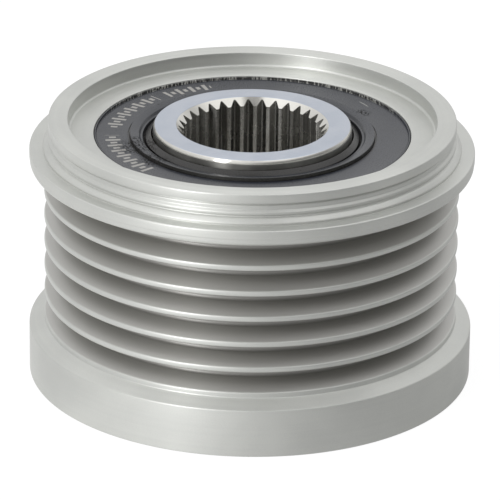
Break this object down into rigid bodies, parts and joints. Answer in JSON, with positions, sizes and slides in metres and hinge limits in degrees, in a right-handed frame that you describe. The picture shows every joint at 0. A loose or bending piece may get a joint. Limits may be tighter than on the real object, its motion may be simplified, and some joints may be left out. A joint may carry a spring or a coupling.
{
  "type": "overrunning alternator pulley",
  "caption": "Freewheel pulley for an alternator: a grooved belt pulley on a splined, threaded hub with ball bearings, a roller clutch and rubber seals.",
  "frame": {"origin": "centre of the pulley's rear face, which it stands on", "axes": "+Z along the pulley's axis, from the rear face to the front face"},
  "size_m": [0.0592, 0.0592, 0.0356],
  "materials": {
    "plated_steel": "turned steel with a pale zinc plating, satin",
    "ground_steel": "hardened steel, ground and polished",
    "bearing_steel": "hardened bearing steel, ground",
    "roller_steel": "hardened bearing steel, lapped bright",
    "spring_steel": "cold-rolled spring strip",
    "cage_nylon": "moulded glass-filled nylon",
    "seal_rubber": "moulded nitrile rubber, slightly glossy"
  },
  "bodies": {
    "pulley_body": {"pulley": "plated_steel", "front_seal": "seal_rubber", "rear_seal": "seal_rubber", "front_outer_ring": "bearing_steel", "rear_outer_ring": "bearing_steel", "clutch_ring": "bearing_steel", "clutch_cage": "cage_nylon", "clutch_spring_01": "spring_steel", "clutch_spring_02": "spring_steel", "clutch_spring_03": "spring_steel", "clutch_spring_04": "spring_steel", "clutch_spring_05": "spring_steel", "clutch_spring_06": "spring_steel", "clutch_spring_07": "spring_steel", "clutch_spring_08": "spring_steel", "clutch_spring_09": "spring_steel", "clutch_spring_10": "spring_steel"},
    "hub_body": {"hub": "ground_steel", "front_inner_ring": "bearing_steel", "rear_inner_ring": "bearing_steel"},
    "front_cage_body": {"front_cage": "cage_nylon"},
    "front_ball_01_body": {"front_ball_01": "roller_steel"},
    "front_ball_02_body": {"front_ball_02": "roller_steel"},
    "front_ball_03_body": {"front_ball_03": "roller_steel"},
    "front_ball_04_body": {"front_ball_04": "roller_steel"},
    "front_ball_05_body": {"front_ball_05": "roller_steel"},
    "front_ball_06_body": {"front_ball_06": "roller_steel"},
    "front_ball_07_body": {"front_ball_07": "roller_steel"},
    "front_ball_08_body": {"front_ball_08": "roller_steel"},
    "front_ball_09_body": {"front_ball_09": "roller_steel"},
    "front_ball_10_body": {"front_ball_10": "roller_steel"},
    "front_ball_11_body": {"front_ball_11": "roller_steel"},
    "rear_cage_body": {"rear_cage": "cage_nylon"},
    "rear_ball_01_body": {"rear_ball_01": "roller_steel"},
    "rear_ball_02_body": {"rear_ball_02": "roller_steel"},
    "rear_ball_03_body": {"rear_ball_03": "roller_steel"},
    "rear_ball_04_body": {"rear_ball_04": "roller_steel"},
    "rear_ball_05_body": {"rear_ball_05": "roller_steel"},
    "rear_ball_06_body": {"rear_ball_06": "roller_steel"},
    "rear_ball_07_body": {"rear_ball_07": "roller_steel"},
    "rear_ball_08_body": {"rear_ball_08": "roller_steel"},
    "rear_ball_09_body": {"rear_ball_09": "roller_steel"},
    "rear_ball_10_body": {"rear_ball_10": "roller_steel"},
    "rear_ball_11_body": {"rear_ball_11": "roller_steel"},
    "clutch_roller_01_body": {"clutch_roller_01": "roller_steel"},
    "clutch_roller_02_body": {"clutch_roller_02": "roller_steel"},
    "clutch_roller_03_body": {"clutch_roller_03": "roller_steel"},
    "clutch_roller_04_body": {"clutch_roller_04": "roller_steel"},
    "clutch_roller_05_body": {"clutch_roller_05": "roller_steel"},
    "clutch_roller_06_body": {"clutch_roller_06": "roller_steel"},
    "clutch_roller_07_body": {"clutch_roller_07": "roller_steel"},
    "clutch_roller_08_body": {"clutch_roller_08": "roller_steel"},
    "clutch_roller_09_body": {"clutch_roller_09": "roller_steel"},
    "clutch_roller_10_body": {"clutch_roller_10": "roller_steel"}
  },
  "joints": [
    {"name": "hub_overrun", "type": "hinge", "parent": "pulley_body", "child": "hub_body", "pos_m": [0, 0, 0], "axis": [0, 0, -1], "continuous": true},
    {"name": "front_cage_orbit", "type": "hinge", "parent": "pulley_body", "child": "front_cage_body", "pos_m": [0, 0, 0], "axis": [0, 0, -1], "continuous": true},
    {"name": "front_ball_01_spin", "type": "hinge", "parent": "front_cage_body", "child": "front_ball_01_body", "pos_m": [0.01675, 0, 0.0265], "axis": [0, 0, -1], "continuous": true},
    {"name": "front_ball_02_spin", "type": "hinge", "parent": "front_cage_body", "child": "front_ball_02_body", "pos_m": [0.01409, 0.00906, 0.0265], "axis": [0, 0, -1], "continuous": true},
    {"name": "front_ball_03_spin", "type": "hinge", "parent": "front_cage_body", "child": "front_ball_03_body", "pos_m": [0.00696, 0.01524, 0.0265], "axis": [0, 0, -1], "continuous": true},
    {"name": "front_ball_04_spin", "type": "hinge", "parent": "front_cage_body", "child": "front_ball_04_body", "pos_m": [-0.00238, 0.01658, 0.0265], "axis": [0, 0, -1], "continuous": true},
    {"name": "front_ball_05_spin", "type": "hinge", "parent": "front_cage_body", "child": "front_ball_05_body", "pos_m": [-0.01097, 0.01266, 0.0265], "axis": [0, 0, -1], "continuous": true},
    {"name": "front_ball_06_spin", "type": "hinge", "parent": "front_cage_body", "child": "front_ball_06_body", "pos_m": [-0.01607, 0.00472, 0.0265], "axis": [0, 0, -1], "continuous": true},
    {"name": "front_ball_07_spin", "type": "hinge", "parent": "front_cage_body", "child": "front_ball_07_body", "pos_m": [-0.01607, -0.00472, 0.0265], "axis": [0, 0, -1], "continuous": true},
    {"name": "front_ball_08_spin", "type": "hinge", "parent": "front_cage_body", "child": "front_ball_08_body", "pos_m": [-0.01097, -0.01266, 0.0265], "axis": [0, 0, -1], "continuous": true},
    {"name": "front_ball_09_spin", "type": "hinge", "parent": "front_cage_body", "child": "front_ball_09_body", "pos_m": [-0.00238, -0.01658, 0.0265], "axis": [0, 0, -1], "continuous": true},
    {"name": "front_ball_10_spin", "type": "hinge", "parent": "front_cage_body", "child": "front_ball_10_body", "pos_m": [0.00696, -0.01524, 0.0265], "axis": [0, 0, -1], "continuous": true},
    {"name": "front_ball_11_spin", "type": "hinge", "parent": "front_cage_body", "child": "front_ball_11_body", "pos_m": [0.01409, -0.00906, 0.0265], "axis": [0, 0, -1], "continuous": true},
    {"name": "rear_cage_orbit", "type": "hinge", "parent": "pulley_body", "child": "rear_cage_body", "pos_m": [0, 0, 0], "axis": [0, 0, -1], "continuous": true},
    {"name": "rear_ball_01_spin", "type": "hinge", "parent": "rear_cage_body", "child": "rear_ball_01_body", "pos_m": [0.01675, 0, 0.0072], "axis": [0, 0, -1], "continuous": true},
    {"name": "rear_ball_02_spin", "type": "hinge", "parent": "rear_cage_body", "child": "rear_ball_02_body", "pos_m": [0.01409, 0.00906, 0.0072], "axis": [0, 0, -1], "continuous": true},
    {"name": "rear_ball_03_spin", "type": "hinge", "parent": "rear_cage_body", "child": "rear_ball_03_body", "pos_m": [0.00696, 0.01524, 0.0072], "axis": [0, 0, -1], "continuous": true},
    {"name": "rear_ball_04_spin", "type": "hinge", "parent": "rear_cage_body", "child": "rear_ball_04_body", "pos_m": [-0.00238, 0.01658, 0.0072], "axis": [0, 0, -1], "continuous": true},
    {"name": "rear_ball_05_spin", "type": "hinge", "parent": "rear_cage_body", "child": "rear_ball_05_body", "pos_m": [-0.01097, 0.01266, 0.0072], "axis": [0, 0, -1], "continuous": true},
    {"name": "rear_ball_06_spin", "type": "hinge", "parent": "rear_cage_body", "child": "rear_ball_06_body", "pos_m": [-0.01607, 0.00472, 0.0072], "axis": [0, 0, -1], "continuous": true},
    {"name": "rear_ball_07_spin", "type": "hinge", "parent": "rear_cage_body", "child": "rear_ball_07_body", "pos_m": [-0.01607, -0.00472, 0.0072], "axis": [0, 0, -1], "continuous": true},
    {"name": "rear_ball_08_spin", "type": "hinge", "parent": "rear_cage_body", "child": "rear_ball_08_body", "pos_m": [-0.01097, -0.01266, 0.0072], "axis": [0, 0, -1], "continuous": true},
    {"name": "rear_ball_09_spin", "type": "hinge", "parent": "rear_cage_body", "child": "rear_ball_09_body", "pos_m": [-0.00238, -0.01658, 0.0072], "axis": [0, 0, -1], "continuous": true},
    {"name": "rear_ball_10_spin", "type": "hinge", "parent": "rear_cage_body", "child": "rear_ball_10_body", "pos_m": [0.00696, -0.01524, 0.0072], "axis": [0, 0, -1], "continuous": true},
    {"name": "rear_ball_11_spin", "type": "hinge", "parent": "rear_cage_body", "child": "rear_ball_11_body", "pos_m": [0.01409, -0.00906, 0.0072], "axis": [0, 0, -1], "continuous": true},
    {"name": "clutch_roller_01_spin", "type": "hinge", "parent": "pulley_body", "child": "clutch_roller_01_body", "pos_m": [0.01487, 0, 0.01685], "axis": [0, 0, -1], "continuous": true},
    {"name": "clutch_roller_02_spin", "type": "hinge", "parent": "pulley_body", "child": "clutch_roller_02_body", "pos_m": [0.01203, 0.00874, 0.01685], "axis": [0, 0, -1], "continuous": true},
    {"name": "clutch_roller_03_spin", "type": "hinge", "parent": "pulley_body", "child": "clutch_roller_03_body", "pos_m": [0.0046, 0.01414, 0.01685], "axis": [0, 0, -1], "continuous": true},
    {"name": "clutch_roller_04_spin", "type": "hinge", "parent": "pulley_body", "child": "clutch_roller_04_body", "pos_m": [-0.0046, 0.01414, 0.01685], "axis": [0, 0, -1], "continuous": true},
    {"name": "clutch_roller_05_spin", "type": "hinge", "parent": "pulley_body", "child": "clutch_roller_05_body", "pos_m": [-0.01203, 0.00874, 0.01685], "axis": [0, 0, -1], "continuous": true},
    {"name": "clutch_roller_06_spin", "type": "hinge", "parent": "pulley_body", "child": "clutch_roller_06_body", "pos_m": [-0.01487, 0, 0.01685], "axis": [0, 0, -1], "continuous": true},
    {"name": "clutch_roller_07_spin", "type": "hinge", "parent": "pulley_body", "child": "clutch_roller_07_body", "pos_m": [-0.01203, -0.00874, 0.01685], "axis": [0, 0, -1], "continuous": true},
    {"name": "clutch_roller_08_spin", "type": "hinge", "parent": "pulley_body", "child": "clutch_roller_08_body", "pos_m": [-0.0046, -0.01414, 0.01685], "axis": [0, 0, -1], "continuous": true},
    {"name": "clutch_roller_09_spin", "type": "hinge", "parent": "pulley_body", "child": "clutch_roller_09_body", "pos_m": [0.0046, -0.01414, 0.01685], "axis": [0, 0, -1], "continuous": true},
    {"name": "clutch_roller_10_spin", "type": "hinge", "parent": "pulley_body", "child": "clutch_roller_10_body", "pos_m": [0.01203, -0.00874, 0.01685], "axis": [0, 0, -1], "continuous": true}
  ],
  "couplings": [
    {"joint": "front_cage_orbit", "follows": "hub_overrun", "ratio": 0.42537},
    {"joint": "front_ball_01_spin", "follows": "hub_overrun", "ratio": -3.2754},
    {"joint": "front_ball_02_spin", "follows": "hub_overrun", "ratio": -3.2754},
    {"joint": "front_ball_03_spin", "follows": "hub_overrun", "ratio": -3.2754},
    {"joint": "front_ball_04_spin", "follows": "hub_overrun", "ratio": -3.2754},
    {"joint": "front_ball_05_spin", "follows": "hub_overrun", "ratio": -3.2754},
    {"joint": "front_ball_06_spin", "follows": "hub_overrun", "ratio": -3.2754},
    {"joint": "front_ball_07_spin", "follows": "hub_overrun", "ratio": -3.2754},
    {"joint": "front_ball_08_spin", "follows": "hub_overrun", "ratio": -3.2754},
    {"joint": "front_ball_09_spin", "follows": "hub_overrun", "ratio": -3.2754},
    {"joint": "front_ball_10_spin", "follows": "hub_overrun", "ratio": -3.2754},
    {"joint": "front_ball_11_spin", "follows": "hub_overrun", "ratio": -3.2754},
    {"joint": "rear_cage_orbit", "follows": "hub_overrun", "ratio": 0.42537},
    {"joint": "rear_ball_01_spin", "follows": "hub_overrun", "ratio": -3.2754},
    {"joint": "rear_ball_02_spin", "follows": "hub_overrun", "ratio": -3.2754},
    {"joint": "rear_ball_03_spin", "follows": "hub_overrun", "ratio": -3.2754},
    {"joint": "rear_ball_04_spin", "follows": "hub_overrun", "ratio": -3.2754},
    {"joint": "rear_ball_05_spin", "follows": "hub_overrun", "ratio": -3.2754},
    {"joint": "rear_ball_06_spin", "follows": "hub_overrun", "ratio": -3.2754},
    {"joint": "rear_ball_07_spin", "follows": "hub_overrun", "ratio": -3.2754},
    {"joint": "rear_ball_08_spin", "follows": "hub_overrun", "ratio": -3.2754},
    {"joint": "rear_ball_09_spin", "follows": "hub_overrun", "ratio": -3.2754},
    {"joint": "rear_ball_10_spin", "follows": "hub_overrun", "ratio": -3.2754},
    {"joint": "rear_ball_11_spin", "follows": "hub_overrun", "ratio": -3.2754},
    {"joint": "clutch_roller_01_spin", "follows": "hub_overrun", "ratio": -5.5556},
    {"joint": "clutch_roller_02_spin", "follows": "hub_overrun", "ratio": -5.5556},
    {"joint": "clutch_roller_03_spin", "follows": "hub_overrun", "ratio": -5.5556},
    {"joint": "clutch_roller_04_spin", "follows": "hub_overrun", "ratio": -5.5556},
    {"joint": "clutch_roller_05_spin", "follows": "hub_overrun", "ratio": -5.5556},
    {"joint": "clutch_roller_06_spin", "follows": "hub_overrun", "ratio": -5.5556},
    {"joint": "clutch_roller_07_spin", "follows": "hub_overrun", "ratio": -5.5556},
    {"joint": "clutch_roller_08_spin", "follows": "hub_overrun", "ratio": -5.5556},
    {"joint": "clutch_roller_09_spin", "follows": "hub_overrun", "ratio": -5.5556},
    {"joint": "clutch_roller_10_spin", "follows": "hub_overrun", "ratio": -5.5556}
  ]
}
